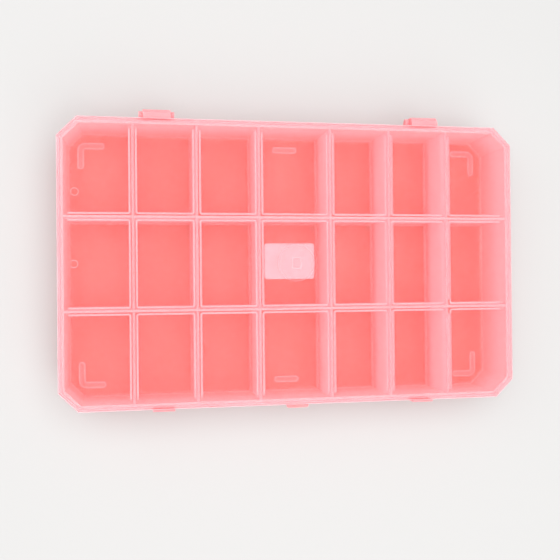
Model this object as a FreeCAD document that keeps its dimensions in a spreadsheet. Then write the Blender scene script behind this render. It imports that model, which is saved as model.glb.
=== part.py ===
import FreeCAD, Part

import math
import os
import re

import Sketcher

# A bead organizer: a shallow tray of twenty-one compartments under one hinged lid.
# X runs along the box, Y towards the hinges, Z up. Lengths are in millimetres.

# Sizes that can each be set alone
SIZES = {
    # lid
    "lid_length": 275,
    "lid_width": 168,
    "corner_cut": 11,
    "lid_top": 37.6,
    "panel_thickness": 1.4,
    "panel_round": 0.7,
    "skirt_wall": 1.5,
    "skirt_height": 6,
    # how the lid sits on the tray
    "skirt_gap": 0.4,
    "seat_gap": 0.3,
    # tray
    "tray_wall": 1.6,
    "draft_angle": 1,
    "floor_thickness": 1.4,
    "floor_round_outside": 3,
    "floor_round_inside": 2,
    # dividers
    "centre_column": 43.4,
    "end_column": 38.8,
    "middle_row_extra": 0.3,
    "divider_crest": 1.3,
    "divider_foot": 2.1,
    "divider_flare": 1.2,
    "divider_drop": 0.2,
    # frames under the lid, one for each compartment
    "frame_gap": 0.8,
    "frame_wall": 1,
    "frame_depth": 2.5,
    "frame_round": 1.5,
    "frame_end_gap": 2.2,
    "break_root": 0.4,
    "break_width": 1.3,
    "missing_corner": 4.3,
    # feet
    "foot_height": 1,
    "foot_width": 3.9,
    "foot_inset": 7.3,
    "foot_arm": 16.2,
    "foot_bend": 5,
    "foot_edge": 0.5,
    "middle_foot_length": 15.7,
    # hinges
    "hinge_place": 81.3,
    "hinge_length": 20.6,
    "axis_reach": 2.7,
    "axis_drop": 0.6,
    "bar_radius": 1.4,
    "bar_clearance": 0.08,
    "knuckle_wall": 1.12,
    "clip_mouth": 2.3,
    "ear_radius": 2.4,
    "ear_thickness": 2,
    "ear_side_gap": 0.3,
    "ear_web": 8,
    "moving_gap": 0.3,
    # snap catches
    "catch_place": 78.4,
    "catch_width": 12.5,
    "catch_thickness": 1.3,
    "catch_length": 14.6,
    "catch_bite": 0.4,
    "hook_height": 1.1,
    "hook_gap": 0.4,
    "ridge_depth": 1.3,
    "ridge_drop": 2.8,
    "ridge_height": 2,
    "ridge_side": 1,
    # thumb tab
    "thumb_width": 13,
    "thumb_reach": 1.8,
    "thumb_thickness": 1.8,
    "thumb_round": 1.2,
    # middle of the lid
    "gate_disc_radius": 11.1,
    "gate_disc_height": 0.35,
    "gate_mark_width": 5.6,
    "gate_mark_length": 6.8,
    "gate_mark_height": 0.25,
    "gate_mark_round": 1,
    "label_length": 30.3,
    "label_width": 21.3,
    "label_thickness": 0.25,
    "label_round": 1.8,
    "label_step": 1.1,
    "label_gap": 0.1,
    # how far a cutting shape runs past what it cuts
    "cut_overrun": 2,
}

# Places worked out from the sizes above
PANEL_FOOT = "(lid_top - panel_thickness)"
SKIRT_FOOT = "(lid_top - panel_thickness - skirt_height)"
TRAY_TOP = "(lid_top - panel_thickness - seat_gap)"
FLOOR_TOP = "(foot_height + floor_thickness)"
CREST_TOP = f"({TRAY_TOP} - divider_drop)"
HALF_CREST = f"({FLOOR_TOP} / 2 + {CREST_TOP} / 2)"
TRAY_INSET = "(skirt_wall + skirt_gap)"
CAVITY_INSET = "(skirt_wall + skirt_gap + tray_wall)"
HALF_LENGTH = "(lid_length / 2)"
HALF_WIDTH = "(lid_width / 2)"
AXIS_Y = "(lid_width / 2 + axis_reach)"
AXIS_Z = f"({SKIRT_FOOT} - axis_drop)"
BORE_RADIUS = "(bar_radius + bar_clearance)"
KNUCKLE_RADIUS = f"({BORE_RADIUS} + knuckle_wall)"
# the box stands with the middle of its whole depth, hinges and thumb tab counted, over the origin
SHIFT_Y = f"((thumb_reach - axis_reach - {KNUCKLE_RADIUS}) / 2)"

# the columns between the middle one and the two at the ends share what is left of the length
SIDE_COLUMN = f"(({HALF_LENGTH} - {CAVITY_INSET} - centre_column / 2 - end_column) / 2)"
COLUMN_PLACES = [
    f"(-1 * (centre_column / 2 + 2 * {SIDE_COLUMN}))",
    f"(-1 * (centre_column / 2 + {SIDE_COLUMN}))",
    "(-1 * (centre_column / 2))",
    "(centre_column / 2)",
    f"(centre_column / 2 + {SIDE_COLUMN})",
    f"(centre_column / 2 + 2 * {SIDE_COLUMN})",
]
# the rows share the width between the walls, and the middle one is a little deeper than the others
ROW_DEPTH = f"((2 * ({HALF_WIDTH} - {CAVITY_INSET} - divider_crest) - middle_row_extra) / 3)"
ROW_PLACE = f"(({ROW_DEPTH} + middle_row_extra + divider_crest) / 2)"
ROW_PLACES = [f"(-1 * {ROW_PLACE})", ROW_PLACE]
ROW_NAMES = ["front", "middle", "back"]
COLUMNS = len(COLUMN_PLACES) + 1
ROWS = len(ROW_PLACES) + 1

doc = FreeCAD.newDocument("bead_organizer")
sheet = doc.addObject("Spreadsheet::Sheet", "sizes")
for line, (name, value) in enumerate(SIZES.items(), start=1):
    sheet.set(f"A{line}", name.replace("_", " "))
    sheet.set(f"B{line}", str(value))
    sheet.setAlias(f"B{line}", name)
doc.recompute()

finished = []


def bound(words):
    """An expression in plain size names, made to read the sheet."""
    return re.sub(r"[a-z]+(_[a-z]+)+", r"sizes.\g<0>", words)


def number(words):
    """What an expression comes to now, in millimetres."""
    return float(sheet.evalExpression(bound(words)))


def finish(thing, label):
    """Names a finished sub-part and stands it at its place in the part's frame."""
    thing.Label = label
    thing.setExpression("Placement.Base.y", bound(SHIFT_Y))
    finished.append(thing)
    return thing


def new_body(name):
    return doc.addObject("PartDesign::Body", name)


def new_sketch(body, role, height=None):
    """A sketch on one of the body's own planes, moved along that plane's normal."""
    sketch = body.newObject("Sketcher::SketchObject", body.Name + "_sketch")
    plane = next(item for item in body.Origin.OriginFeatures if item.Role == role)
    sketch.AttachmentSupport = (plane, [""])
    sketch.MapMode = "FlatFace"
    if height is not None:
        sketch.setExpression("AttachmentOffset.Base.z", bound(height))
    return sketch


def hold(sketch, kind, first, second, words):
    """One driving distance of a sketch, bound to the sheet."""
    index = sketch.addConstraint(Sketcher.Constraint(kind, *first, *second, number(words)))
    sketch.setExpression(f"Constraints[{index}]", bound(words))


def hold_radius(sketch, curve, words):
    index = sketch.addConstraint(Sketcher.Constraint("Radius", curve, number(words)))
    sketch.setExpression(f"Constraints[{index}]", bound(words))


def arc_between(start, end, radius, turns_left):
    """The short arc from start to end; turns_left says which way it bends."""
    chord = end - start
    rise = math.sqrt(max(radius ** 2 - (chord.Length / 2) ** 2, 0))
    side = FreeCAD.Vector(-chord.y, chord.x, 0).normalize() * rise
    centre = (start + end) / 2 + (side if turns_left else side * -1)
    first, last = (start, end) if turns_left else (end, start)
    angles = [math.atan2(point.y - centre.y, point.x - centre.x) for point in (first, last)]
    if angles[1] < angles[0]:
        angles[1] += 2 * math.pi
    return Part.ArcOfCircle(Part.Circle(centre, FreeCAD.Vector(0, 0, 1), radius), *angles)


def outline(sketch, corners, arcs=None):
    """A closed outline through corners given as pairs of expressions.

    arcs maps a corner's number to (radius, turns left) where the run to the next corner is an arc.
    A half round end, straight across or straight up, has None for its radius.
    """
    arcs = arcs or {}
    points = [FreeCAD.Vector(number(across), number(up), 0) for across, up in corners]
    ends = []
    for step, start in enumerate(points):
        end = points[(step + 1) % len(points)]
        if step in arcs:
            radius, turns_left = arcs[step]
            size = number(radius) if radius else (end - start).Length / 2
            curve = sketch.addGeometry(arc_between(start, end, size, turns_left))
            ends.append((curve, (1, 2) if turns_left else (2, 1)))
        else:
            ends.append((sketch.addGeometry(Part.LineSegment(start, end)), (1, 2)))
    for step, (curve, (start, _)) in enumerate(ends):
        before, (_, before_end) = ends[step - 1]
        sketch.addConstraint(Sketcher.Constraint("Coincident", before, before_end, curve, start))
        across, up = corners[step]
        hold(sketch, "DistanceX", (-1, 1), (curve, start), across)
        hold(sketch, "DistanceY", (-1, 1), (curve, start), up)
        if step in arcs and arcs[step][0]:
            hold_radius(sketch, curve, arcs[step][0])
        elif step in arcs and across == corners[(step + 1) % len(corners)][0]:
            hold(sketch, "DistanceX", (-1, 1), (curve, 3), across)
        elif step in arcs:
            hold(sketch, "DistanceY", (-1, 1), (curve, 3), up)


def rounded_rectangle(sketch, left, right, low, high, radius):
    """A rectangle whose four corners are quarter arcs."""
    corners = [
        (f"{left} + {radius}", low), (f"{right} - {radius}", low),
        (right, f"{low} + {radius}"), (right, f"{high} - {radius}"),
        (f"{right} - {radius}", high), (f"{left} + {radius}", high),
        (left, f"{high} - {radius}"), (left, f"{low} + {radius}"),
    ]
    outline(sketch, corners, {step: (radius, True) for step in (1, 3, 5, 7)})


def rectangle(sketch, left, right, low, high):
    outline(sketch, [(left, low), (right, low), (right, high), (left, high)])


def circle(sketch, across, up, radius):
    centre = FreeCAD.Vector(number(across), number(up), 0)
    ring = sketch.addGeometry(Part.Circle(centre, FreeCAD.Vector(0, 0, 1), number(radius)))
    hold(sketch, "DistanceX", (-1, 1), (ring, 3), across)
    hold(sketch, "DistanceY", (-1, 1), (ring, 3), up)
    hold_radius(sketch, ring, radius)


def cut_cornered(inset):
    """The box's eight-cornered outline, drawn in from the lid's edge by inset."""
    across = f"(lid_length / 2 - {inset})"
    deep = f"(lid_width / 2 - {inset})"
    cut = f"(corner_cut - {inset} * (2 - sqrt(2)))"
    quarter = [(across, f"{deep} - {cut}"), (f"{across} - {cut}", deep)]
    corners = []
    for flip_x, flip_y in ((1, 1), (-1, 1), (-1, -1), (1, -1)):
        turned = quarter if flip_x == flip_y else quarter[::-1]
        corners += [(f"{flip_x} * ({x})", f"{flip_y} * ({y})") for x, y in turned]
    return corners


def pad(body, sketch, length, both_ways=False, downwards=False):
    feature = body.newObject("PartDesign::Pad", body.Name + "_pad")
    feature.Profile = sketch
    feature.setExpression("Length", bound(length))
    feature.Midplane = both_ways
    feature.Reversed = downwards
    return feature


def pocket(body, sketch, length, both_ways=False):
    """Cuts both ways, or along the sketch's normal."""
    feature = body.newObject("PartDesign::Pocket", body.Name + "_pocket")
    feature.Profile = sketch
    feature.setExpression("Length", bound(length))
    feature.Midplane = both_ways
    feature.Reversed = not both_ways
    return feature


def round_edges(body, feature, radius, wanted):
    """Rounds those edges of the feature whose middle and direction pass the test."""
    doc.recompute()
    names = []
    for index, edge in enumerate(feature.Shape.Edges, start=1):
        middle = edge.valueAt((edge.FirstParameter + edge.LastParameter) / 2)
        if wanted(edge, middle):
            names.append(f"Edge{index}")
    rounding = body.newObject("PartDesign::Fillet", body.Name + "_round")
    rounding.Base = (feature, names)
    rounding.setExpression("Radius", bound(radius))
    return rounding


def at_height(words):
    """A test for the edges that lie flat at one height."""
    height = number(words)

    def wanted(edge, middle):
        return all(abs(corner.Z - height) < Part.Precision.confusion() for corner in edge.Vertexes)

    return wanted


def boolean(kind, name, base, tool):
    thing = doc.addObject(f"Part::{kind}", name)
    thing.Base = base
    thing.Tool = tool
    return thing


def fused(name, shapes):
    thing = doc.addObject("Part::MultiFuse", name)
    thing.Shapes = shapes
    return thing


def box_block(name, inset, foot, rounding):
    """A solid block of the box's outline, drafted inwards from the tray's top down to a rounded foot."""
    body = new_body(name)
    top = new_sketch(body, "XY_Plane", TRAY_TOP)
    outline(top, cut_cornered(inset))
    block = pad(body, top, f"{TRAY_TOP} - {foot}", downwards=True)
    doc.recompute()
    walls = []
    for index, face in enumerate(block.Shape.Faces, start=1):
        facing = face.normalAt(0, 0).z
        if abs(facing) < Part.Precision.angular():
            walls.append(f"Face{index}")
        elif facing > 0:
            rim = f"Face{index}"
    drafted = body.newObject("PartDesign::Draft", f"{name}_draft")
    drafted.Base = (block, walls)
    drafted.NeutralPlane = (block, [rim])
    drafted.Reversed = True
    drafted.setExpression("Angle", bound("draft_angle"))
    round_edges(body, drafted, rounding, at_height(foot))
    return body


# Tray: one moulding, held here as its shell, dividers, feet, hinge ears and catch ridges

def build_shell():
    outside = box_block("tray_outside", TRAY_INSET, "foot_height", "floor_round_outside")
    inside = box_block("tray_inside", CAVITY_INSET, FLOOR_TOP, "floor_round_inside")
    shell = boolean("Cut", "tray_shell_cut", outside, inside)
    finish(shell, "tray_shell")
    return outside, inside


def divider_prism(name, role, place, length):
    """A drafted wall with a flared foot, long enough to pass through the tray's walls."""
    body = new_body(name)
    profile = new_sketch(body, role)
    half_crest = "divider_crest / 2"
    half_foot = "divider_foot / 2"
    right = [
        (f"{half_foot} + divider_flare", FLOOR_TOP),
        (half_foot, f"{FLOOR_TOP} + divider_flare"),
        (half_crest, CREST_TOP),
    ]
    left = [(f"-1 * ({across})", up) for across, up in reversed(right)]
    outline(profile, [(f"{place} + {across}", up) for across, up in right + left])
    pad(body, profile, length, both_ways=True)
    return body


def height_zone(name, low, high):
    """Everything between two heights, for halving the dividers where they cross."""
    zone = doc.addObject("Part::Box", name)
    zone.setExpression("Length", bound("lid_length"))
    zone.setExpression("Width", bound("lid_width"))
    zone.setExpression("Height", bound(f"{high} - {low}"))
    zone.setExpression("Placement.Base.x", bound("lid_length / -2"))
    zone.setExpression("Placement.Base.y", bound("lid_width / -2"))
    zone.setExpression("Placement.Base.z", bound(low))
    return zone


def build_dividers(inside):
    """Two long dividers keep the upper half of each crossing, six short ones the lower half."""
    rows = [divider_prism(f"row_prism_{side}", "YZ_Plane", place, "lid_length")
            for side, place in zip(("front", "back"), ROW_PLACES)]
    columns = [divider_prism(f"column_prism_{count}", "XZ_Plane", place, "lid_width")
               for count, place in enumerate(COLUMN_PLACES, start=1)]
    lower = height_zone("lower_half", "foot_height", HALF_CREST)
    upper = height_zone("upper_half", HALF_CREST, TRAY_TOP)
    column_feet = boolean("Common", "column_feet", fused("column_bank", columns), lower)
    row_crests = boolean("Common", "row_crests", fused("row_bank", rows), upper)
    for side, prism in zip(("front", "back"), rows):
        whole = boolean("Common", f"row_wall_{side}", prism, inside)
        finish(boolean("Cut", f"row_divider_cut_{side}", whole, column_feet), f"row_divider_{side}")
    for count, prism in enumerate(columns, start=1):
        whole = boolean("Common", f"column_wall_{count}", prism, inside)
        finish(boolean("Cut", f"column_divider_cut_{count}", whole, row_crests), f"column_divider_{count}")


def build_corner_foot(label, flip_x, flip_y):
    """An L of rounded bead under a corner of the floor, its ends half round."""
    body = new_body(label)
    plan = new_sketch(body, "XY_Plane")
    far_x = f"({HALF_LENGTH} - {TRAY_INSET} - foot_inset)"
    far_y = f"({HALF_WIDTH} - {TRAY_INSET} - foot_inset)"
    end = "(foot_arm - foot_width / 2)"
    inner_bend = "(foot_bend - foot_width)"
    corners = [
        (f"{far_x} - foot_bend", far_y),
        (f"{far_x} - {end}", far_y),
        (f"{far_x} - {end}", f"{far_y} - foot_width"),
        (f"{far_x} - foot_bend", f"{far_y} - foot_width"),
        (f"{far_x} - foot_width", f"{far_y} - foot_bend"),
        (f"{far_x} - foot_width", f"{far_y} - {end}"),
        (far_x, f"{far_y} - {end}"),
        (far_x, f"{far_y} - foot_bend"),
    ]
    mirrored = flip_x != flip_y
    arcs = {
        1: (None, not mirrored),
        3: (inner_bend, mirrored),
        5: (None, not mirrored),
        7: ("foot_bend", not mirrored),
    }
    outline(plan, [(f"{flip_x} * ({x})", f"{flip_y} * ({y})") for x, y in corners], arcs)
    bead = pad(body, plan, "foot_height")
    round_edges(body, bead, "foot_edge", lambda edge, middle: abs(middle.z) < Part.Precision.confusion())
    finish(body, label)


def build_middle_foot(label, flip_y):
    """A straight bead under the middle of a long side."""
    body = new_body(label)
    plan = new_sketch(body, "XY_Plane")
    far_y = f"({HALF_WIDTH} - {TRAY_INSET} - foot_inset)"
    run = "(middle_foot_length / 2 - foot_width / 2)"
    near_y = f"({far_y} - foot_width)"
    low, high = (near_y, far_y) if flip_y > 0 else (f"(-1 * {far_y})", f"(-1 * {near_y})")
    corners = [(f"-1 * {run}", low), (run, low), (run, high), (f"-1 * {run}", high)]
    outline(plan, corners, {1: (None, True), 3: (None, True)})
    bead = pad(body, plan, "foot_height")
    round_edges(body, bead, "foot_edge", lambda edge, middle: abs(middle.z) < Part.Precision.confusion())
    finish(body, label)


def build_ear(label, side, outer, outside):
    """One ear of a hinge: a disc round the axis, joined to the tray's back wall by a web."""
    body = new_body(f"{label}_raw")
    inwards = f"({side} * (hinge_place + {outer} * (hinge_length - ear_thickness) / 2))"
    disc = new_sketch(body, "YZ_Plane", inwards)
    circle(disc, AXIS_Y, AXIS_Z, "ear_radius")
    pad(body, disc, "ear_thickness", both_ways=True)
    web = new_sketch(body, "YZ_Plane", inwards)
    wall = f"({HALF_WIDTH} - {CAVITY_INSET})"
    web_top = f"({SKIRT_FOOT} - moving_gap)"
    slope = "(ear_radius / sqrt(2))"
    outline(web, [
        (wall, f"{AXIS_Z} - ear_web"),
        (f"{AXIS_Y} + {slope}", f"{AXIS_Z} - {slope}"),
        (AXIS_Y, web_top),
        (wall, web_top),
    ])
    pad(body, web, "ear_thickness", both_ways=True)
    finish(boolean("Cut", f"{label}_cut", body, outside), label)


def build_hinge_bar(label, side):
    """The round bar between two ears, which the lid's knuckle clips on."""
    body = new_body(label)
    section = new_sketch(body, "YZ_Plane", f"{side} * hinge_place")
    circle(section, AXIS_Y, AXIS_Z, "bar_radius")
    pad(body, section, "hinge_length - 2 * ear_thickness", both_ways=True)
    finish(body, label)


def build_catch_ridge(label, side, outside):
    """The ridge on the tray's front wall that a catch snaps under."""
    body = new_body(f"{label}_raw")
    profile = new_sketch(body, "YZ_Plane", f"{side} * catch_place")
    wall = f"({HALF_WIDTH} - {TRAY_INSET})"
    high = f"({SKIRT_FOOT} - ridge_drop)"
    outline(profile, [
        (f"-1 * ({HALF_WIDTH} - {CAVITY_INSET})", high),
        (f"-1 * {wall}", high),
        (f"-1 * ({wall} + ridge_depth)", f"{high} - ridge_depth"),
        (f"-1 * ({wall} + ridge_depth)", f"{high} - ridge_height"),
        (f"-1 * ({HALF_WIDTH} - {CAVITY_INSET})", f"{high} - ridge_height"),
    ])
    pad(body, profile, "catch_width + 2 * ridge_side", both_ways=True)
    finish(boolean("Cut", f"{label}_cut", body, outside), label)


# Lid: one moulding, held here as its panel, skirt, frames, knuckles, catches and thumb tab

def build_panel():
    body = new_body("lid_panel")
    plan = new_sketch(body, "XY_Plane", PANEL_FOOT)
    outline(plan, cut_cornered("0"))
    slab = pad(body, plan, "panel_thickness")
    round_edges(body, slab, "panel_round", at_height("lid_top"))
    finish(body, "lid_panel")


def build_skirt():
    """The rim that hangs from the panel's edge, round the outside of the tray's wall."""
    body = new_body("lid_skirt")
    plan = new_sketch(body, "XY_Plane", PANEL_FOOT)
    outline(plan, cut_cornered("0"))
    outline(plan, cut_cornered("skirt_wall"))
    pad(body, plan, "skirt_height", downwards=True)
    finish(body, "lid_skirt")


def frame_limits(places, cell, half_size):
    """The frame's two sides along one direction, and which of them are open to the outer wall."""
    clear = "(divider_crest / 2 + frame_gap)"
    low_open = cell == 0
    high_open = cell == len(places)
    low = f"(-1 * {half_size})" if low_open else f"({places[cell - 1]} + {clear})"
    high = half_size if high_open else f"({places[cell]} - {clear})"
    return low, high, low_open, high_open


def trim(body, left, right, low, high, depth="frame_depth + 2 * cut_overrun"):
    """Cuts a plan rectangle out of a frame from below, through its whole depth or most of it."""
    plan = new_sketch(body, "XY_Plane", f"{PANEL_FOOT} - frame_depth - cut_overrun")
    rectangle(plan, left, right, low, high)
    pocket(body, plan, depth)


def build_frame(row, column):
    """The thin rim under the lid that reaches into one compartment's mouth, open at the box's own walls."""
    label = f"cell_frame_{ROW_NAMES[row]}_{column + 1}"
    body = new_body(label)
    left, right, left_open, right_open = frame_limits(COLUMN_PLACES, column, HALF_LENGTH)
    low, high, low_open, high_open = frame_limits(ROW_PLACES, row, HALF_WIDTH)
    plan = new_sketch(body, "XY_Plane", PANEL_FOOT)
    rounded_rectangle(plan, left, right, low, high, "frame_round")
    inner = [f"{left} + frame_wall", f"{right} - frame_wall", f"{low} + frame_wall", f"{high} - frame_wall"]
    rounded_rectangle(plan, *inner, "(frame_round - frame_wall)")
    pad(body, plan, "frame_depth", downwards=True)
    end_x = f"({HALF_LENGTH} - {CAVITY_INSET} - frame_end_gap)"
    end_y = f"({HALF_WIDTH} - {CAVITY_INSET} - frame_end_gap)"
    past_x = f"({HALF_LENGTH} + cut_overrun)"
    past_y = f"({HALF_WIDTH} + cut_overrun)"
    if left_open:
        trim(body, f"-1 * {past_x}", f"-1 * {end_x}", f"-1 * {past_y}", past_y)
    if right_open:
        trim(body, end_x, past_x, f"-1 * {past_y}", past_y)
    if low_open:
        trim(body, f"-1 * {past_x}", past_x, f"-1 * {past_y}", f"-1 * {end_y}")
    if high_open:
        trim(body, f"-1 * {past_x}", past_x, end_y, past_y)
    # two frames at the right-hand end are broken down to a low root, as the photograph shows
    most = "cut_overrun + frame_depth - break_root"
    if right_open and ROW_NAMES[row] == "middle":
        trim(body, f"{left} - cut_overrun", f"{left} + frame_round + missing_corner",
             f"{low} - cut_overrun", f"{low} + frame_round + break_width", most)
    if right_open and ROW_NAMES[row] == "front":
        trim(body, f"{left} - cut_overrun", f"{left} + frame_round + missing_corner",
             f"{high} - frame_round - break_width", f"{high} + cut_overrun", most)
    finish(body, label)


def build_knuckle(label, side):
    """The lid's half of a hinge: a clip round the bar, on an arm from the skirt."""
    body = new_body(label)
    place = f"{side} * hinge_place"
    width = "(hinge_length - 2 * ear_thickness - 2 * ear_side_gap)"
    barrel = new_sketch(body, "YZ_Plane", place)
    circle(barrel, AXIS_Y, AXIS_Z, KNUCKLE_RADIUS)
    pad(body, barrel, width, both_ways=True)
    arm = new_sketch(body, "YZ_Plane", place)
    reach = f"({AXIS_Y} + {KNUCKLE_RADIUS})"
    outline(arm, [
        (HALF_WIDTH, AXIS_Z),
        (reach, AXIS_Z),
        (reach, f"{PANEL_FOOT} - axis_reach"),
        (f"{reach} - axis_reach", PANEL_FOOT),
        (HALF_WIDTH, PANEL_FOOT),
    ], {2: ("axis_reach", True)})
    pad(body, arm, width, both_ways=True)
    bore = new_sketch(body, "YZ_Plane", place)
    circle(bore, AXIS_Y, AXIS_Z, BORE_RADIUS)
    pocket(body, bore, "hinge_length", both_ways=True)
    mouth = new_sketch(body, "YZ_Plane", place)
    rectangle(mouth, f"{AXIS_Y} - clip_mouth / 2", f"{AXIS_Y} + clip_mouth / 2",
              f"{AXIS_Z} - {KNUCKLE_RADIUS} - cut_overrun", AXIS_Z)
    pocket(body, mouth, "hinge_length", both_ways=True)
    finish(body, label)


def build_catch(label, side):
    """A springy tongue on the lid's front edge, with a hook that snaps under the tray's ridge."""
    body = new_body(label)
    profile = new_sketch(body, "YZ_Plane", f"{side} * catch_place")
    face = f"(-1 * {HALF_WIDTH})"
    high = "(lid_top - panel_round)"
    foot = f"({high} - catch_length)"
    hook_top = f"({SKIRT_FOOT} - ridge_drop - ridge_height - hook_gap)"
    hook_reach = f"({TRAY_INSET} - ridge_depth + catch_bite)"
    outline(profile, [
        (face, high),
        (f"{face} - catch_thickness", f"{high} - catch_thickness / 2"),
        (f"{face} - catch_thickness", f"{foot} + catch_thickness / 2"),
        (f"{face} - catch_thickness / 2", foot),
        (face, foot),
        (f"{face} + {hook_reach}", f"{hook_top} - hook_height"),
        (f"{face} + {hook_reach}", hook_top),
        (face, hook_top),
    ])
    pad(body, profile, "catch_width", both_ways=True)
    finish(body, label)


def build_thumb_tab():
    """The lip in the middle of the lid's front edge that a thumb lifts."""
    body = new_body("thumb_tab")
    plan = new_sketch(body, "XY_Plane", "lid_top - panel_round")
    outline(plan, [
        ("thumb_width / -2", f"-1 * {HALF_WIDTH}"),
        ("thumb_width / -2", f"-1 * ({HALF_WIDTH} + thumb_reach - thumb_round)"),
        ("thumb_width / -2 + thumb_round", f"-1 * ({HALF_WIDTH} + thumb_reach)"),
        ("thumb_width / 2 - thumb_round", f"-1 * ({HALF_WIDTH} + thumb_reach)"),
        ("thumb_width / 2", f"-1 * ({HALF_WIDTH} + thumb_reach - thumb_round)"),
        ("thumb_width / 2", f"-1 * {HALF_WIDTH}"),
    ], {1: ("thumb_round", True), 3: ("thumb_round", True)})
    pad(body, plan, "thumb_thickness", downwards=True)
    finish(body, "thumb_tab")


def build_gate():
    """The round land over the moulding gate, and the bare raised mark in its middle."""
    disc = new_body("gate_disc")
    ring = new_sketch(disc, "XY_Plane", "lid_top")
    circle(ring, "0", "0", "gate_disc_radius")
    pad(disc, ring, "gate_disc_height")
    finish(disc, "gate_disc")
    mark = new_body("gate_mark")
    plan = new_sketch(mark, "XY_Plane", "lid_top + gate_disc_height")
    rounded_rectangle(plan, "gate_mark_width / -2", "gate_mark_width / 2",
                      "gate_mark_length / -2", "gate_mark_length / 2", "gate_mark_round")
    pad(mark, plan, "gate_mark_height")
    finish(mark, "gate_mark")


def build_label():
    """The blank label under the panel, against the left side of the middle compartment's frame."""
    body = new_body("blank_label")
    plan = new_sketch(body, "XY_Plane", PANEL_FOOT)
    left = f"({COLUMN_PLACES[2]} + divider_crest / 2 + frame_gap + frame_wall + label_gap)"
    rounded_rectangle(plan, left, f"({left} + label_length)",
                      "(label_step - label_width / 2)", "(label_step + label_width / 2)", "label_round")
    pad(body, plan, "label_thickness", downwards=True)
    finish(body, "blank_label")


tray_outside, tray_inside = build_shell()
build_dividers(tray_inside)
for side_x, flip_x in (("left", -1), ("right", 1)):
    for side_y, flip_y in (("front", -1), ("back", 1)):
        build_corner_foot(f"corner_foot_{side_y}_{side_x}", flip_x, flip_y)
build_middle_foot("middle_foot_front", -1)
build_middle_foot("middle_foot_back", 1)
for side_x, flip_x in (("left", -1), ("right", 1)):
    build_ear(f"hinge_ear_{side_x}_outer", flip_x, 1, tray_outside)
    build_ear(f"hinge_ear_{side_x}_inner", flip_x, -1, tray_outside)
    build_hinge_bar(f"hinge_bar_{side_x}", flip_x)
    build_catch_ridge(f"catch_ridge_{side_x}", flip_x, tray_outside)
    build_knuckle(f"lid_knuckle_{side_x}", flip_x)
    build_catch(f"lid_catch_{side_x}", flip_x)
build_panel()
build_skirt()
for row in range(ROWS):
    for column in range(COLUMNS):
        build_frame(row, column)
build_thumb_tab()
build_gate()
build_label()
doc.recompute()

# Nothing is written unless every object is sound
unsound = [thing.Label for thing in doc.Objects if "Invalid" in thing.State or "Error" in thing.State]
unsound += [thing.Label for thing in finished
            if thing.Shape.isNull() or not thing.Shape.isValid() or len(thing.Shape.Solids) != 1]
if unsound:
    raise RuntimeError("not sound: " + ", ".join(unsound))

whole = FreeCAD.BoundBox()
for thing in finished:
    whole.add(thing.Shape.optimalBoundingBox(False))
print(f"{len(finished)} sub-parts, {whole.XLength:.2f} x {whole.YLength:.2f} x {whole.ZLength:.2f} mm")
print(f"y {whole.YMin:.2f} to {whole.YMax:.2f}, z {whole.ZMin:.2f} to {whole.ZMax:.2f}")
print(f"hinge axis at y {number(AXIS_Y) + number(SHIFT_Y):.3f}, z {number(AXIS_Z):.3f}")

os.makedirs("parts", exist_ok=True)
for thing in finished:
    thing.Shape.exportStep(f"parts/{thing.Label}.step")
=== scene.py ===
# %% [markdown]
# # A bead organizer in milky plastic
# The real object is two mouldings in one soft, milky pink plastic: a tray of twenty-one compartments, and
# a lid that clips on two bars at the back. Seen from above, almost all that shows is light passing
# through thin layers: the lid, the ribs under it, the tops of the dividers, the floor and the feet below
# it. The shapes come from the measured model, so this lesson is mostly about plastic that can be looked
# through, and about the small marks that moulding leaves on it.

# %% The measured model
import math

import bmesh
import bpy
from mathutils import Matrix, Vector


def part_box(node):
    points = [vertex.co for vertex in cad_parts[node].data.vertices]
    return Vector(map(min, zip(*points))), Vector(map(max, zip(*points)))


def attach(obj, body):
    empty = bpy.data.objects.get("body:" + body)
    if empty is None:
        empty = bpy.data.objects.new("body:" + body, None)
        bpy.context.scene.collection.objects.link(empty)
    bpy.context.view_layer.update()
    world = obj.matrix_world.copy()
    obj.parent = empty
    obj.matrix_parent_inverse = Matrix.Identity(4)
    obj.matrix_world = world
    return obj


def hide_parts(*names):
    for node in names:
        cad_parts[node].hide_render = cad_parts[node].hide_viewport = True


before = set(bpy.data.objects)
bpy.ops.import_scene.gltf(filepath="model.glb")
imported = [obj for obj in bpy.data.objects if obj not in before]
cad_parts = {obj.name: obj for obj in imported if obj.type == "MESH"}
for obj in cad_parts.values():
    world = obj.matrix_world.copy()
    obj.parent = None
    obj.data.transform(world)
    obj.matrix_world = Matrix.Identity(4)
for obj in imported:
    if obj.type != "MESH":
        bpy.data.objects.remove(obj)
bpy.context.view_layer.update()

MM = 0.001

# %% [markdown]
# ## Where the camera stands
# The photograph was taken from above the left half of the box, so the dividers on the right show their
# left sides. A camera in Blender looks along its own -Z with +Y up, which is already a view straight
# down. Small turns about the three axes then lean it as in the photograph. The lens is given by its focal
# length in pixels, because that is what can be measured in a picture.

# %% Camera
PICTURE_WIDTH_PX = 560
FOCAL_LENGTH_PX = 780
SENSOR_MM = 36
CAMERA_PLACE_MM = (-94.4065, -14.9345, 490.826)
CAMERA_LEAN_DEG = (0.492, -10.53, -0.565)
NEAREST_SEEN_MM = 5

camera_data = bpy.data.cameras.new("photo_camera")
camera_data.sensor_width = SENSOR_MM
camera_data.lens = SENSOR_MM * FOCAL_LENGTH_PX / PICTURE_WIDTH_PX
camera_data.clip_start = NEAREST_SEEN_MM * MM
camera = bpy.data.objects.new("photo_camera", camera_data)
bpy.context.scene.collection.objects.link(camera)
camera.location = Vector(CAMERA_PLACE_MM) * MM
camera.rotation_euler = [math.radians(angle) for angle in CAMERA_LEAN_DEG]
bpy.context.scene.camera = camera
print(f"lens {camera_data.lens:.2f} mm, camera {camera.location.z:.3f} m up")

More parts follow.
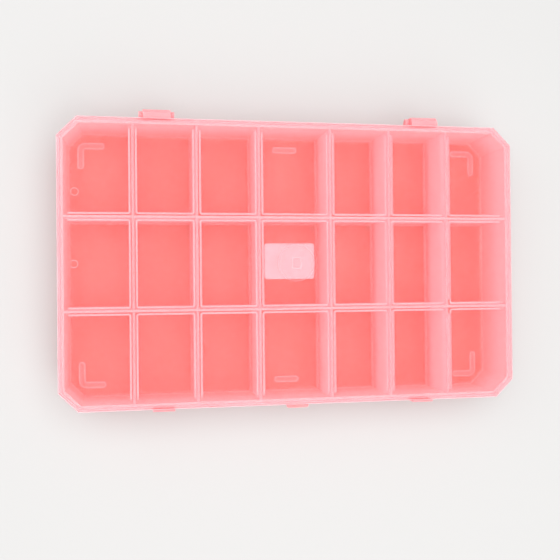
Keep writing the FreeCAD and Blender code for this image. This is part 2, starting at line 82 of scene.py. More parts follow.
# %% [markdown]
# ## Shader maths as plain sums
# A material is a graph of nodes, and arithmetic in it takes one Math node per sign. Wrapping a socket in
# a small class lets Python's own signs make those nodes, so a mask reads like the formula it is. A colour
# would turn grey in a Math node, so colours are blended by a Mix node instead.

# %% Sockets that can be added and multiplied
# A Mix node repeats its sockets' names for each kind of value, so the colour ones are told by number.
MIX_SHARE, MIX_FIRST, MIX_SECOND, MIX_COLOUR = 0, 6, 7, 2


def rgba(colour):
    """A colour with its fourth number, which a socket wants. A wire stays a wire."""
    return (*colour, 1) if isinstance(colour, tuple) else colour


class Wire:
    """An output of a material's node, ready for sums."""

    def __init__(self, finish, socket):
        self.finish = finish
        self.socket = socket

    def maths(self, operation, first, second):
        return self.finish.node("ShaderNodeMath", {"operation": operation}, {0: first, 1: second})

    def __add__(self, other):
        return self.maths("ADD", self, other)

    def __radd__(self, other):
        return self.maths("ADD", other, self)

    def __sub__(self, other):
        return self.maths("SUBTRACT", self, other)

    def __rsub__(self, other):
        return self.maths("SUBTRACT", other, self)

    def __mul__(self, other):
        return self.maths("MULTIPLY", self, other)

    def __rmul__(self, other):
        return self.maths("MULTIPLY", other, self)

    def __truediv__(self, other):
        return self.maths("DIVIDE", self, other)

    def __abs__(self):
        return self.maths("ABSOLUTE", self, 0)

    def at_most(self, other):
        return self.maths("MINIMUM", self, other)

    def at_least(self, other):
        return self.maths("MAXIMUM", self, other)

    def between(self, start, end):
        """Runs from start to end while this wire runs from 0 to 1."""
        return start + self * (end - start)


class Finish:
    """A material in the making."""

    def __init__(self, name):
        self.material = bpy.data.materials.new(name)
        self.material.use_nodes = True
        self.tree = self.material.node_tree
        self.tree.nodes.clear()

    def node(self, kind, settings=None, inputs=None, output=0):
        """Adds a node, sets it up, feeds its sockets and hands back one of its outputs."""
        node = self.tree.nodes.new(kind)
        for name, value in (settings or {}).items():
            setattr(node, name, value)
        for name, value in (inputs or {}).items():
            if isinstance(value, Wire):
                self.tree.links.new(value.socket, node.inputs[name])
            else:
                node.inputs[name].default_value = value
        return Wire(self, node.outputs[output]) if node.outputs else node

    def place(self):
        """Object coordinates, in metres."""
        return self.node("ShaderNodeTexCoord", output="Object")

    def noise(self, scale, detail):
        return self.node("ShaderNodeTexNoise", inputs={
            "Vector": self.place(), "Scale": scale, "Detail": detail}, output="Fac")

    def place_mm(self, axis):
        return self.node("ShaderNodeSeparateXYZ", inputs={"Vector": self.place()}, output=axis) / MM

    def height_mm(self):
        return self.place_mm("Z")

    def span(self, along_x, along_y):
        """The straight distance that two steps at right angles add up to."""
        steps = self.node("ShaderNodeCombineXYZ", inputs={"X": along_x, "Y": along_y})
        return self.node("ShaderNodeVectorMath", {"operation": "LENGTH"}, {0: steps}, "Value")

    def ease(self, value, low, high, start=0.0, end=1.0):
        """Carries a value from low..high to start..end, eased at both ends."""
        return self.node("ShaderNodeMapRange", {"interpolation_type": "SMOOTHSTEP"}, {
            "Value": value, "From Min": low, "From Max": high, "To Min": start, "To Max": end}, "Result")

    def tint(self, share, first, second):
        """A colour between two others, by share."""
        inputs = {MIX_SHARE: share, MIX_FIRST: rgba(first), MIX_SECOND: rgba(second)}
        return self.node("ShaderNodeMix", {"data_type": "RGBA"}, inputs, MIX_COLOUR)

    def surface(self, inputs):
        """Ends the material in one Principled surface."""
        shader = self.node("ShaderNodeBsdfPrincipled", inputs=inputs)
        self.node("ShaderNodeOutputMaterial", inputs={"Surface": shader})
        return self.material


print("shader helpers ready")

# %% [markdown]
# ## Milky plastic
# Such boxes are moulded in polypropylene, which lets most light through and scatters the rest. Each face
# is a veil: pale where light catches it, with what lies behind it showing through. Rough glass would blur
# what lies behind, but the photograph shows ribs and feet crisply through the lid, so the veil is made
# with Alpha, which an exported model keeps too. How thick a veil looks depends on where it lies on the
# piece. A rib's lower edge or a divider's crest is seen end on, down its whole depth, so it is nearly
# solid, while a panel is only as thick as it is deep. That such edges are also the palest part is painted
# light: they take a lighter colour and a painted glow. So a finish has three parts, told apart by their
# height: the foot at the bottom of the piece, the crown at its top, and the walls between. Where two
# measured pieces touch face to face, the plastic is really one, so that face gets no veil at all.

# %% The plastic recipe
# Painted light: GLINT and PALE are lighter copies of the one pink plastic, given to edges, rims, crests,
# lips and feet where light gathers; PINK, SALMON and TAB are its deeper tones.
GLINT = (0.92, 0.57, 0.62)
PALE = (0.91, 0.45, 0.49)
PINK = (0.91, 0.29, 0.30)
SALMON = (0.92, 0.062, 0.022)
TAB = (0.91, 0.31, 0.335)
BARE = (PINK, 0.0)
SMOOTH, SATIN = 0.24, 0.34
CLOUD_SCALE = 16.0
CLOUD_DETAIL = 3.0
THIN_CLOUD, THICK_CLOUD = 0.3, 0.7
GRAIN_SCALE = 1400.0
GRAIN_DETAIL = 1.0
GRAIN_DEPTH_MM = 0.02
GRAIN_STRENGTH = 0.25
PLASTIC_IOR = 1.49
SLIVER_MM = 0.02
TURN_MM = 0.06
PATCHY_SHARE = 0.12
DULLER = 0.1
SCATTER_REACH = (1.0, 0.8, 0.8)
SCATTER_MM = 4.0
UNLIT = (0.0, 0.0, 0.0)


def box_mm(node):
    """The lowest and highest corner of a measured piece, in millimetres."""
    return [Vector(corner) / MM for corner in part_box(node)]


def even(colour, veil):
    """The same colour and veil for foot, wall and crown."""
    part = (colour, veil)
    return part, part, part


def close_up(finish, colour, veil, gloss, glow=None, brightest=1.0):
    """What all the milky finishes share: cloudy patches in the veil and the gloss, and a fine grain.

    Glow is painted light: an emission standing in for light that ran along inside the plastic and leaves at
    an edge, as a share of the brightest.
    """
    clouds = finish.noise(CLOUD_SCALE, CLOUD_DETAIL)
    grain = finish.noise(GRAIN_SCALE, GRAIN_DETAIL)
    bump = finish.node("ShaderNodeBump", inputs={
        "Height": grain, "Strength": GRAIN_STRENGTH, "Distance": GRAIN_DEPTH_MM * MM})
    return finish.surface({
        "Base Color": colour,
        "Alpha": veil * finish.ease(clouds, THIN_CLOUD, THICK_CLOUD, 1 - PATCHY_SHARE, 1.0),
        "Roughness": finish.ease(clouds, THIN_CLOUD, THICK_CLOUD, gloss, gloss + DULLER),
        "IOR": PLASTIC_IOR,
        "Subsurface Weight": 1.0,
        "Subsurface Radius": SCATTER_REACH,
        "Subsurface Scale": SCATTER_MM * MM,
        "Normal": bump,
        # Painted glow: emission on plastic that is no lamp.
        "Emission Color": rgba(UNLIT) if glow is None else finish.tint(glow, UNLIT, colour),
        "Emission Strength": brightest,
    })


def milky(name, like, foot, wall, crown, gloss=SATIN, turn=TURN_MM, glow=None):
    """Foot, wall and crown are each a colour and the share of the view that the veil hides.

    Glow is painted light and has three numbers in the same order.
    """
    low, high = box_mm(like)
    finish = Finish(name)
    height = finish.height_mm()
    at_foot = finish.ease(height, low.z + SLIVER_MM, low.z + turn, 1.0, 0.0)
    at_crown = finish.ease(height, high.z - turn, high.z - SLIVER_MM)
    colour = finish.tint(at_crown, finish.tint(at_foot, wall[0], foot[0]), crown[0])

    def by_height(foot_value, wall_value, crown_value):
        return (wall_value + at_foot * (foot_value - wall_value)
                + at_crown * (crown_value - wall_value))

    veil = by_height(foot[1], wall[1], crown[1])
    if not glow:
        return close_up(finish, colour, veil, gloss)
    brightest = max(glow)
    return close_up(finish, colour, veil, gloss, by_height(*(part / brightest for part in glow)), brightest)


print("plastic recipe ready")

# %% [markdown]
# ## The lid
# The panel is the clearest part, because everything is seen through it. Its rounded rim, the skirt and
# the ribs stand on edge, so they show as pale lines: partly through their depth of plastic, partly by
# painted light, a lighter colour and, on skirt and ribs, a painted glow.

# %% Lid finishes
RIB = "cell_frame_middle_3"
CLEAR = (PINK, 0.14)
# Painted light: the panel edge, skirt and ribs take the lighter GLINT colour, and the skirt, ribs,
# knuckles, catches and thumb tab a painted glow.
PANEL_EDGE = (GLINT, 0.6)
SKIRT_FOOT, SKIRT_WALL = (GLINT, 0.9), (GLINT, 0.75)
SKIRT_GLOW = (0.28, 0.17, 0.0)
RIB_FOOT, RIB_WALL = (GLINT, 0.92), (GLINT, 0.75)
RIB_GLOW = (0.26, 0.11, 0.0)
RIB_TURN_MM = 0.3
CATCH = (0.91, 0.27, 0.29)
THUMB = (0.91, 0.225, 0.235)
TAB_VEIL = 0.8
TAB_GLOW = (0.14, 0.1, 0.0)
DISC_VEIL, DISC_RIM_VEIL = 0.08, 0.4
DISC_RIM = (0.91, 0.38, 0.43)
DISC_RIM_MM = 0.9


def disc_plastic(name):
    """A clear disc with a denser ring painted round its edge, a painted highlight for a rolled rim, so it
    shows as a pale line.
    """
    low, high = box_mm("gate_disc")
    middle, radius = (low + high) / 2, (high.x - low.x) / 2
    finish = Finish(name)
    outward = finish.span(finish.place_mm("X") - middle.x, finish.place_mm("Y") - middle.y)
    at_rim = finish.ease(outward, radius - DISC_RIM_MM, radius - SLIVER_MM)
    off_panel = finish.ease(finish.height_mm(), low.z + SLIVER_MM, low.z + TURN_MM)
    veil = at_rim.between(DISC_VEIL, DISC_RIM_VEIL) * off_panel
    return close_up(finish, finish.tint(at_rim, PALE, DISC_RIM), veil, SMOOTH)


LID_FINISHES = {
    "lid_panel": milky("lid_panel_plastic", "lid_panel", CLEAR, PANEL_EDGE, CLEAR, gloss=SMOOTH),
    "lid_skirt": milky("skirt_plastic", "lid_skirt", SKIRT_FOOT, SKIRT_WALL, BARE, glow=SKIRT_GLOW),
    "cell_frame": milky("rib_plastic", RIB, RIB_FOOT, RIB_WALL, BARE, turn=RIB_TURN_MM, glow=RIB_GLOW),
    "lid_knuckle": milky("knuckle_plastic", "lid_knuckle_left", *even(TAB, TAB_VEIL), glow=TAB_GLOW),
    "lid_catch": milky("catch_plastic", "lid_catch_left", *even(CATCH, TAB_VEIL), glow=TAB_GLOW),
    "thumb_tab": milky("thumb_plastic", "thumb_tab", *even(THUMB, TAB_VEIL), glow=TAB_GLOW),
    "gate_disc": disc_plastic("gate_disc_plastic"),
}
print(f"{len(LID_FINISHES)} finishes for the lid")

# %% [markdown]
# ## The tray
# The tray is seen through the lid. Its floor is the deepest colour, and its walls are painted paler
# towards the rim, with a painted glow on floor and walls below the rim: painted light for light that runs
# up through the plastic and leaves at the edge. The dividers cross in half-laps, and the two faces that
# meet at half height get no veil. Their sides are painted paler upwards and glow below the crest, as
# painted light too. The long rows carry more light to their crests than the short columns, so their
# crests are painted a little paler. Where a foot is moulded on below, the plastic is thicker and scatters
# more light back, so the floor is painted paler there, most of all over the foot's rolled edge. The feet
# are alike in the four quarters of the tray, so the distance to a foot's middle line is worked out in one
# quarter only, with the signs of x and y dropped.

# %% Tray finishes
FLOOR_TOP_MM = 2.4
# Painted light: WALL_PALE, the crest colours and the paler divider tops are lighter colours, WALL_GLOW a
# painted glow, and OVER_FOOT and OVER_FOOT_EDGE shares of GLINT painted on the floor over the feet.
WALL_PALE_MM = 30.0
WALL_PALE = (0.92, 0.50, 0.54)
FLOOR_VEIL, UNDERSIDE_VEIL, WALL_VEIL, RIM_VEIL = 0.6, 0.2, 0.72, 0.75
DIVIDER_VEIL, CREST_VEIL = 0.74, 0.85
WALL_GLOW = 0.16
RIM_GLOW_MM = 0.8
CREST_GLOW_MM = 0.6
ROW_CREST, COLUMN_CREST = (0.91, 0.42, 0.455), (0.91, 0.335, 0.372)
WALL_START_MM = 1.0
DIVIDER_PALE_SHARE = 0.33
FOOT_BEND_MM = 5.0
FOOT_EDGE_MM, FOOT_SOFT_MM = 1.1, 0.25
OVER_FOOT, OVER_FOOT_EDGE = 0.24, 0.62


def off_foot_line(finish):
    """How far a place on the floor is from the middle line of the nearest foot, and half a foot's width."""
    low, high = box_mm("corner_foot_back_right")
    bar_low, bar_high = box_mm("middle_foot_back")
    middle_y = (high.y + box_mm("corner_foot_front_right")[0].y) / 2
    half = (bar_high.y - bar_low.y) / 2
    x, y = abs(finish.place_mm("X")), abs(finish.place_mm("Y") - middle_y)
    inward_x, inward_y = (high.x - half) - x, (high.y - middle_y - half) - y
    bend = FOOT_BEND_MM - half
    arm = high.x - low.x - 2 * half
    off_bend = finish.span((inward_x - bend).at_most(0), (inward_y - bend).at_most(0))
    past_end = (inward_x - arm).at_least(inward_y - arm).at_least(0)
    off_angled = finish.span(abs(off_bend - bend), past_end)
    off_straight = finish.span((x - (bar_high.x - half)).at_least(0), inward_y)
    return off_angled.at_most(off_straight), half


def tray_plastic(name):
    low, high = box_mm("tray_shell")
    finish = Finish(name)
    height = finish.height_mm()
    on_wall = finish.ease(height, FLOOR_TOP_MM + SLIVER_MM, FLOOR_TOP_MM + WALL_START_MM)
    paler = finish.ease(height, FLOOR_TOP_MM, WALL_PALE_MM)
    at_rim = finish.ease(height, high.z - RIM_GLOW_MM, high.z - SLIVER_MM)
    inside = finish.ease(height, low.z + SLIVER_MM, FLOOR_TOP_MM - SLIVER_MM)
    off_line, half = off_foot_line(finish)
    # Painted light: the floor over each foot, most over its rolled edge, is tinted towards GLINT.
    over_foot = finish.ease(off_line, half - FOOT_SOFT_MM, half + FOOT_SOFT_MM, 1.0, 0.0)
    over_edge = finish.ease(off_line, half - FOOT_EDGE_MM, half - FOOT_SOFT_MM)
    painted_foot_light = over_foot * over_edge.between(OVER_FOOT, OVER_FOOT_EDGE)
    deep = finish.tint(on_wall, finish.tint(painted_foot_light, SALMON, GLINT), PINK)
    # Painted light: the walls grow paler towards the rim, and the rim itself is PALE.
    colour = finish.tint(at_rim, finish.tint(paler, deep, WALL_PALE), PALE)
    veil = (UNDERSIDE_VEIL + inside * (FLOOR_VEIL - UNDERSIDE_VEIL)
            + on_wall * (WALL_VEIL - FLOOR_VEIL) + at_rim * (RIM_VEIL - WALL_VEIL))
    # Painted glow on all but the underside and the rim.
    return close_up(finish, colour, veil, SATIN, inside * (1 - at_rim), WALL_GLOW)


def divider_plastic(name, like, crest):
    low, high = [corner.z for corner in box_mm(like)]
    finish = Finish(name)
    height = finish.height_mm()
    off_floor = finish.ease(height, low + SLIVER_MM, low + TURN_MM)
    off_lap = finish.ease(abs(height - (low + high) / 2), SLIVER_MM, TURN_MM)
    # Painted light: the sides grow paler upwards, the crest takes a lighter colour, and below the crest
    # they carry a painted glow.
    paler = finish.ease(height, low, low + (high - low) * DIVIDER_PALE_SHARE)
    at_crest = finish.ease(height, high - CREST_GLOW_MM, high - SLIVER_MM)
    colour = finish.tint(at_crest, finish.tint(paler, PINK, GLINT), crest)
    veil = at_crest.between(DIVIDER_VEIL, CREST_VEIL) * off_floor * off_lap
    return close_up(finish, colour, veil, SATIN, 1 - at_crest, WALL_GLOW)


# Painted light: the feet's sides take the lighter GLINT colour and a painted glow, so that they show as
# pale outlines; the hinge ears below glow with TAB_GLOW.
FOOT_UNDERSIDE, FOOT_SIDE = (PALE, 0.6), (GLINT, 0.9)
FOOT_GLOW = (0.12, 0.25, 0.0)
FOOT_TURN_MM = 0.05
FOOT = milky("foot_plastic", "corner_foot_front_left", FOOT_UNDERSIDE, FOOT_SIDE, BARE,
             turn=FOOT_TURN_MM, glow=FOOT_GLOW)
RIDGE_VEIL = 0.6
TRAY_FINISHES = {
    "tray_shell": tray_plastic("tray_plastic"),
    "row_divider": divider_plastic("row_plastic", "row_divider_front", ROW_CREST),
    "column_divider": divider_plastic("column_plastic", "column_divider_1", COLUMN_CREST),
    "corner_foot": FOOT,
    "middle_foot": FOOT,
    "hinge": milky("ear_plastic", "hinge_ear_left_inner", *even(TAB, TAB_VEIL), glow=TAB_GLOW),
    "catch_ridge": milky("ridge_plastic", "catch_ridge_left", *even(TAB, RIDGE_VEIL)),
}
print(f"{len(TRAY_FINISHES)} finishes for the tray")

# %% [markdown]
# ## The label
# A blank film lies under the lid, almost white, and pink only because the lid is over it. The measured
# plate is flat. A real film has bedded down unevenly, with soft waves and one corner that has come away a
# little, so it is modelled afresh in the same place. A plane gets its four corners rounded by a bevel of
# its points, is cut into a fine mesh, and then a few places are pulled down with proportional editing,
# which takes the neighbourhood along as a hand would.

# %% A label film with soft waves
FILM = (0.90, 0.38, 0.43)
FILM_SHADE = (0.90, 0.35, 0.395)
FILM_VEILS = (0.92, 0.97)
FILM_GLOSSES = (0.5, 0.62)
FIBRE_SCALE = 900.0
FIBRE_DETAIL = 4.0
FIBRE_STRENGTH = 0.3
FILM_CLOUD_SCALE = 120.0
FILM_CLOUD_DETAIL = 2.0
FILM_ROUND_MM = 1.8
FILM_ROUND_STEPS = 6
FILM_CUTS = 22
FILM_THICKNESS_MM = 0.12
FILM_GAP_MM = 0.04
# Where the film dips, by how much and how far round about.
FILM_DIPS_MM = [((-14.0, -3.0), 0.16, 5.0), ((4.0, 5.0), 0.12, 6.0), ((-4.0, -8.0), 0.14, 5.0),
                ((10.5, -10.5), 0.55, 5.5), ((-18.0, 9.0), 0.25, 4.0)]
ALONG_X, ALONG_Y = (1, 0, 0), (0, 1, 0)


def start_afresh():
    """Leaves edit mode and drops the selection, because an operator acts on all that is selected."""
    if bpy.context.object and bpy.context.object.mode != "OBJECT":
        bpy.ops.object.mode_set(mode="OBJECT")
    bpy.ops.object.select_all(action="DESELECT")


def settle(piece):
    """Puts a finished piece's place, turn and size into its mesh."""
    start_afresh()
    piece.select_set(True)
    bpy.context.view_layer.objects.active = piece
    bpy.ops.object.transform_apply(location=True, rotation=True, scale=True)


def pull(piece, near_mm, by_mm, reach_mm):
    """Moves the mesh point nearest a place up or down, and its surroundings with it."""
    mesh = piece.data
    bpy.ops.object.mode_set(mode="EDIT")
    bpy.ops.mesh.select_all(action="DESELECT")
    bpy.ops.object.mode_set(mode="OBJECT")
    near = min(mesh.vertices, key=lambda v: (piece.matrix_world @ v.co - Vector(near_mm) * MM).length)
    near.select = True
    bpy.ops.object.mode_set(mode="EDIT")
    bpy.ops.transform.translate(value=(0, 0, by_mm * MM), use_proportional_edit=True,
                                proportional_edit_falloff="SMOOTH", proportional_size=reach_mm * MM)
    bpy.ops.object.mode_set(mode="OBJECT")


low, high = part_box("blank_label")
film_height = high[2] - FILM_GAP_MM * MM
start_afresh()
film_middle = ((low[0] + high[0]) / 2, (low[1] + high[1]) / 2, film_height)
bpy.ops.mesh.primitive_plane_add(size=1, location=film_middle)
label_film = bpy.context.object
label_film.name = "label_film"
label_film.scale = (high[0] - low[0], high[1] - low[1], 1)
settle(label_film)
bpy.ops.object.mode_set(mode="EDIT")
bpy.ops.mesh.select_all(action="SELECT")
bpy.ops.mesh.bevel(offset=FILM_ROUND_MM * MM, segments=FILM_ROUND_STEPS, affect="VERTICES")
for axis, across in enumerate((ALONG_X, ALONG_Y)):
    start, stop = low[axis], high[axis]
    for cut in range(1, FILM_CUTS):
        place = [0, 0, film_height]
        place[axis] = start + (stop - start) * cut / FILM_CUTS
        bpy.ops.mesh.select_all(action="SELECT")
        bpy.ops.mesh.bisect(plane_co=place, plane_no=across)
bpy.ops.object.mode_set(mode="OBJECT")
for (x, y), dip, reach in FILM_DIPS_MM:
    pull(label_film, (x, y, film_height / MM), -dip, reach)
solid = label_film.modifiers.new("film_thickness", "SOLIDIFY")
solid.thickness = FILM_THICKNESS_MM * MM
solid.offset = -1
bpy.ops.object.modifier_apply(modifier=solid.name)
bpy.ops.object.shade_smooth()


def film_paper(name):
    """A matt film, a little uneven in tone, as blank label stock is."""
    finish = Finish(name)
    fibres = finish.noise(FIBRE_SCALE, FIBRE_DETAIL)
    clouds = finish.noise(FILM_CLOUD_SCALE, FILM_CLOUD_DETAIL)
    bump = finish.node("ShaderNodeBump", inputs={
        "Height": fibres, "Strength": FIBRE_STRENGTH, "Distance": GRAIN_DEPTH_MM * MM})
    return finish.surface({
        "Base Color": finish.tint(finish.ease(clouds, THIN_CLOUD, THICK_CLOUD), FILM, FILM_SHADE),
        "Alpha": finish.ease(fibres, THIN_CLOUD, THICK_CLOUD, *FILM_VEILS),
        "Roughness": finish.ease(fibres, THIN_CLOUD, THICK_CLOUD, *FILM_GLOSSES),
        "Normal": bump})


label_film.data.materials.append(film_paper("label_film"))
label_film.visible_shadow = False
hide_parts("blank_label")
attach(label_film, "lid")
print(f"label film: {len(label_film.data.vertices)} points")

# %% [markdown]
# ## Marks of the mould
# Steel pins push the cooled tray out of its mould, and each leaves a shallow round dent with a thin
# raised lip. Two of them show on the floor, close to the left wall. The lid keeps a mark of the same kind
# where the plastic was let in, a small rounded rectangle with a lip round it. Each is a flat face
# extruded a little, its top inset, and the middle pushed back down, which leaves the lip.

# %% Dished marks
LIP_ROUND_STEPS = 3
ROOT_MM = 0.1


def dish(piece, name, rise_mm, lip_mm, dent_mm, round_mm):
    """Turns the flat face of the active piece into a mark with a lip, standing up from where it lies."""
    piece.name = name
    bpy.ops.object.mode_set(mode="EDIT")
    bpy.ops.mesh.select_all(action="SELECT")
    bpy.ops.mesh.extrude_region_move(TRANSFORM_OT_translate={"value": (0, 0, rise_mm * MM)})
    bpy.ops.mesh.inset(thickness=lip_mm * MM)
    bpy.ops.transform.translate(value=(0, 0, -dent_mm * MM))
    bpy.ops.mesh.select_all(action="SELECT")
    bpy.ops.mesh.normals_make_consistent(inside=False)
    bpy.ops.object.mode_set(mode="OBJECT")
    rounding = piece.modifiers.new("lip_rounding", "BEVEL")
    rounding.width = round_mm * MM
    rounding.segments = LIP_ROUND_STEPS
    bpy.ops.object.modifier_apply(modifier=rounding.name)
    bpy.ops.object.shade_smooth_by_angle()
    settle(piece)


def lip_plastic(name, low_mm, high_mm, flat, lip, gloss=SATIN, glow=1.0):
    """Flat and lip are each a colour and the share of the view that the veil hides. The lip also gets a
    painted glow of strength glow.
    """
    finish = Finish(name)
    on_lip = finish.ease(finish.height_mm(), low_mm, high_mm)
    veil = on_lip.between(flat[1], lip[1])
    return close_up(finish, finish.tint(on_lip, flat[0], lip[0]), veil, gloss, on_lip, glow)


print("dished marks ready")

# %% Pin marks on the floor
PIN_RADIUS_MM = 2.4
PIN_LIP_MM = 0.55
PIN_RISE_MM = 0.3
PIN_DENT_MM = 0.25
PIN_ROUND_MM = 0.1
PIN_SIDES = 40
PIN_PLACES_MM = {"back": (-130.1, 43.2), "front": (-130.7, -0.75)}
PIN_PALE_FROM_MM, PIN_PALE_TO_MM = 0.1, 0.25
# Painted light: the lip takes the lighter GLINT colour and, by default, a full painted glow.
PIN_LIP = (GLINT, 0.7)

PIN_PLASTIC = lip_plastic(
    "pin_mark_plastic", FLOOR_TOP_MM + PIN_PALE_FROM_MM, FLOOR_TOP_MM + PIN_PALE_TO_MM, BARE, PIN_LIP)
for name, (x_mm, y_mm) in PIN_PLACES_MM.items():
    start_afresh()
    bpy.ops.mesh.primitive_circle_add(vertices=PIN_SIDES, radius=PIN_RADIUS_MM * MM, fill_type="NGON",
                                      location=(x_mm * MM, y_mm * MM, (FLOOR_TOP_MM - ROOT_MM) * MM))
    mark = bpy.context.object
    dish(mark, f"pin_mark_{name}", PIN_RISE_MM + ROOT_MM, PIN_LIP_MM, PIN_DENT_MM, PIN_ROUND_MM)
    mark.data.materials.append(PIN_PLASTIC)
    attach(mark, "tray")
print(f"{len(PIN_PLACES_MM)} pin marks")

# %% [markdown]
# ## Soft feet
# The feet are beads on the underside, and the photograph shows them through two layers of plastic as
# outlines, brightest where their sides roll over. The measured feet have only a small rounding, so they
# are modelled afresh, rounder, in the same places. A foot is a flat strip first. A straight one is a
# single face. For an angled one, an end edge of that face is spun a quarter turn and drawn out into the
# second arm. Rounding the points at the ends, pulling the strip up to the tray and bevelling the rim
# underneath give the bead.

# %% Feet
FOOT_ROUND_MM = 0.9
FOOT_BEND_STEPS = 8
FOOT_END_STEPS = 6
FOOT_ROUND_STEPS = 4
FOOT_END_SHARE = 0.49
NEAR_MM = 0.01
SAME_PLACE_MM = 0.001
UPRIGHT = 0.5


def choose(mesh, kind, test):
    """In edit mode, selects the points or edges whose middle passes a test, in millimetres."""
    bpy.ops.mesh.select_all(action="DESELECT")
    bpy.ops.mesh.select_mode(type="VERT" if kind == "verts" else "EDGE")
    shape = bmesh.from_edit_mesh(mesh)
    for part in getattr(shape, kind):
        corners = [part] if kind == "verts" else part.verts
        middle = sum((corner.co for corner in corners), Vector()) / len(corners) / MM
        part.select_set(test(middle, part))
    bmesh.update_edit_mesh(mesh)


def flat_strip(start_mm, end_mm, width_mm):
    """A face lying on the ground, in edit mode, from one x to another."""
    start_afresh()
    bpy.ops.mesh.primitive_plane_add(size=1, location=((start_mm + end_mm) / 2 * MM, 0, 0))
    strip = bpy.context.object
    strip.scale = ((end_mm - start_mm) * MM, width_mm * MM, 1)
    settle(strip)
    bpy.ops.object.mode_set(mode="EDIT")
    return strip


def bead(strip, name, width_mm, height_mm, is_end):
    """Rounds the ends of a strip, gives it height and rolls its lower rim over."""
    strip.name = name
    choose(strip.data, "verts", lambda middle, part: is_end(middle))
    bpy.ops.mesh.bevel(offset=width_mm * FOOT_END_SHARE * MM, segments=FOOT_END_STEPS, affect="VERTICES")
    bpy.ops.mesh.select_all(action="SELECT")
    bpy.ops.mesh.extrude_region_move(TRANSFORM_OT_translate={"value": (0, 0, height_mm * MM)})
    bpy.ops.mesh.select_all(action="SELECT")
    bpy.ops.mesh.remove_doubles(threshold=SAME_PLACE_MM * MM)
    bpy.ops.mesh.normals_make_consistent(inside=False)
    choose(strip.data, "edges", lambda middle, edge: middle.z < NEAR_MM and any(
        abs(face.normal.z) < UPRIGHT for face in edge.link_faces))
    bpy.ops.mesh.bevel(offset=FOOT_ROUND_MM * MM, segments=FOOT_ROUND_STEPS)
    bpy.ops.object.mode_set(mode="OBJECT")
    bpy.ops.object.shade_smooth_by_angle()


def lay(foot, name, x_mm, y_mm, flip_x=1, flip_y=1):
    """Copies a foot to its place on the underside, mirrored where needed."""
    start_afresh()
    copy = foot.copy()
    copy.data = foot.data.copy()
    copy.name = f"soft_{name}"
    bpy.context.scene.collection.objects.link(copy)
    copy.location = (x_mm * MM, y_mm * MM, 0)
    copy.scale = (flip_x, flip_y, 1)
    settle(copy)
    bpy.ops.object.mode_set(mode="EDIT")
    bpy.ops.mesh.select_all(action="SELECT")
    bpy.ops.mesh.normals_make_consistent(inside=False)
    bpy.ops.object.mode_set(mode="OBJECT")
    copy.data.materials.append(FOOT)
    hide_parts(name)
    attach(copy, "tray")


low, high = box_mm("middle_foot_front")
width_mm, height_mm = high.y - low.y, high.z - low.z
straight = flat_strip(low.x, high.x, width_mm)
bead(straight, "straight_foot", width_mm, height_mm, lambda middle: True)
for side in ("front", "back"):
    low, high = box_mm(f"middle_foot_{side}")
    lay(straight, f"middle_foot_{side}", 0, (low.y + high.y) / 2)

# An angled foot with its bend at the origin, one arm towards -X and one towards -Y.
low, high = box_mm("corner_foot_back_right")
arm_mm = high.x - low.x
bend_mm = FOOT_BEND_MM - width_mm / 2
angled = flat_strip(width_mm / 2 - arm_mm, -bend_mm, width_mm)
choose(angled.data, "edges", lambda middle, edge: middle.x > -bend_mm - NEAR_MM)
bpy.ops.mesh.spin(steps=FOOT_BEND_STEPS, angle=math.pi / 2, center=(-bend_mm * MM, -bend_mm * MM, 0),
                  axis=(0, 0, 1))
draw_out_mm = arm_mm - FOOT_BEND_MM
bpy.ops.mesh.extrude_region_move(TRANSFORM_OT_translate={"value": (0, -draw_out_mm * MM, 0)})
far = width_mm / 2 - arm_mm + NEAR_MM
bead(angled, "angled_foot", width_mm, height_mm, lambda middle: min(middle.x, middle.y) < far)
for side_y in ("front", "back"):
    for side_x in ("left", "right"):
        name = f"corner_foot_{side_y}_{side_x}"
        low, high = box_mm(name)
        flip_x = 1 if side_x == "right" else -1
        flip_y = 1 if side_y == "back" else -1
        bend_x = (high.x if side_x == "right" else low.x) - flip_x * width_mm / 2
        bend_y = (high.y if side_y == "back" else low.y) - flip_y * width_mm / 2
        lay(angled, name, bend_x, bend_y, flip_x, flip_y)
for pattern in (straight, angled):
    print(f"{pattern.name}: {len(pattern.data.vertices)} points")
    bpy.data.objects.remove(pattern)

# %% The gate mark on the lid
GATE_LIP_MM = 0.7
GATE_DENT_MM = 0.15
GATE_ROUND_MM = 0.06
GATE_CORNER_MM = 1.0
GATE_CORNER_STEPS = 6
# Painted light: the lip takes the lighter GLINT colour and a painted glow.
GATE_FLAT, GATE_LIP = (PALE, 0.03), (GLINT, 0.45)
GATE_GLOW = 0.2

low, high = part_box("gate_mark")
start_afresh()
bpy.ops.mesh.primitive_plane_add(size=1, location=((low[0] + high[0]) / 2, (low[1] + high[1]) / 2, low[2]))
gate_dish = bpy.context.object
gate_dish.scale = (high[0] - low[0], high[1] - low[1], 1)
settle(gate_dish)
bpy.ops.object.mode_set(mode="EDIT")
bpy.ops.mesh.select_all(action="SELECT")
bpy.ops.mesh.bevel(offset=GATE_CORNER_MM * MM, segments=GATE_CORNER_STEPS, affect="VERTICES")
bpy.ops.object.mode_set(mode="OBJECT")
dish(gate_dish, "gate_dish", (high[2] - low[2]) / MM, GATE_LIP_MM, GATE_DENT_MM, GATE_ROUND_MM)
gate_top_mm = high[2] / MM
gate_dish.data.materials.append(lip_plastic(
    "gate_dish_plastic", gate_top_mm - GATE_DENT_MM, gate_top_mm - SLIVER_MM, GATE_FLAT, GATE_LIP,
    SMOOTH, GATE_GLOW))
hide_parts("gate_mark")
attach(gate_dish, "lid")
print(f"gate mark: {len(gate_dish.data.vertices)} points")

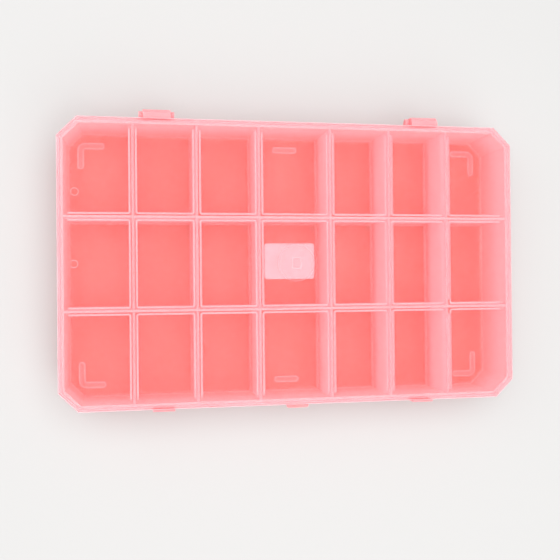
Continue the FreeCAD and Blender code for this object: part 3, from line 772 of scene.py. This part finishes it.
# %% Dress the measured pieces
FINISHES = {
    **LID_FINISHES,
    **TRAY_FINISHES,
    "gate_mark": gate_dish.data.materials[0],
    "blank_label": label_film.data.materials[0],
}
for name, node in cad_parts.items():
    kind = next(kind for kind in FINISHES if name.startswith(kind))
    for slot in node.material_slots:
        slot.material = FINISHES[kind]
print(f"{len(FINISHES)} finishes on {len(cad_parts)} pieces")

# %% [markdown]
# ## Studio
# A pale floor, a broad soft lamp up and to the left, a weaker one opposite, and an even sky.

# %% Floor and lamps
GROUND_SIZE = 8.0
GROUND_GAP_MM = 0.05
GROUND_COLOUR = (0.46, 0.457, 0.452)
GROUND_GLOSS = 0.8
# Places and sizes in metres, power in watts.
LAMPS = {
    "key_lamp": {"place": (-1.0, 0.5, 1.3), "size": 1.4, "power": 7},
    "overhead_lamp": {"place": (0.0, 0.1, 1.5), "size": 1.8, "power": 25},
    "fill_lamp": {"place": (0.4, -1.0, 1.2), "size": 1.4, "power": 9},
}
SKY_COLOUR = (1.0, 1.0, 1.0)
SKY_STRENGTH = 0.7
LAYERS_SEEN_THROUGH = 32

start_afresh()
bpy.ops.mesh.primitive_plane_add(size=GROUND_SIZE, location=(0, 0, -GROUND_GAP_MM * MM))
floor = bpy.context.object
floor.name = "studio_floor"
ground = Finish("studio_floor")
floor.data.materials.append(ground.surface({
    "Base Color": rgba(GROUND_COLOUR), "Roughness": GROUND_GLOSS}))
for name, lamp_plan in LAMPS.items():
    data = bpy.data.lights.new(name, "AREA")
    data.shape = "DISK"
    data.size = lamp_plan["size"]
    data.energy = lamp_plan["power"]
    lamp = bpy.data.objects.new(name, data)
    bpy.context.scene.collection.objects.link(lamp)
    lamp.location = lamp_plan["place"]
    lamp.rotation_euler = (-lamp.location).to_track_quat("-Z", "Y").to_euler()

world = bpy.data.worlds.new("studio_sky")
world.use_nodes = True
sky = world.node_tree.nodes["Background"]
sky.inputs["Color"].default_value = rgba(SKY_COLOUR)
sky.inputs["Strength"].default_value = SKY_STRENGTH
bpy.context.scene.world = world
bpy.context.scene.view_settings.view_transform = "Standard"
bpy.context.scene.cycles.transparent_max_bounces = LAYERS_SEEN_THROUGH
print(f"{len(LAMPS)} lamps")
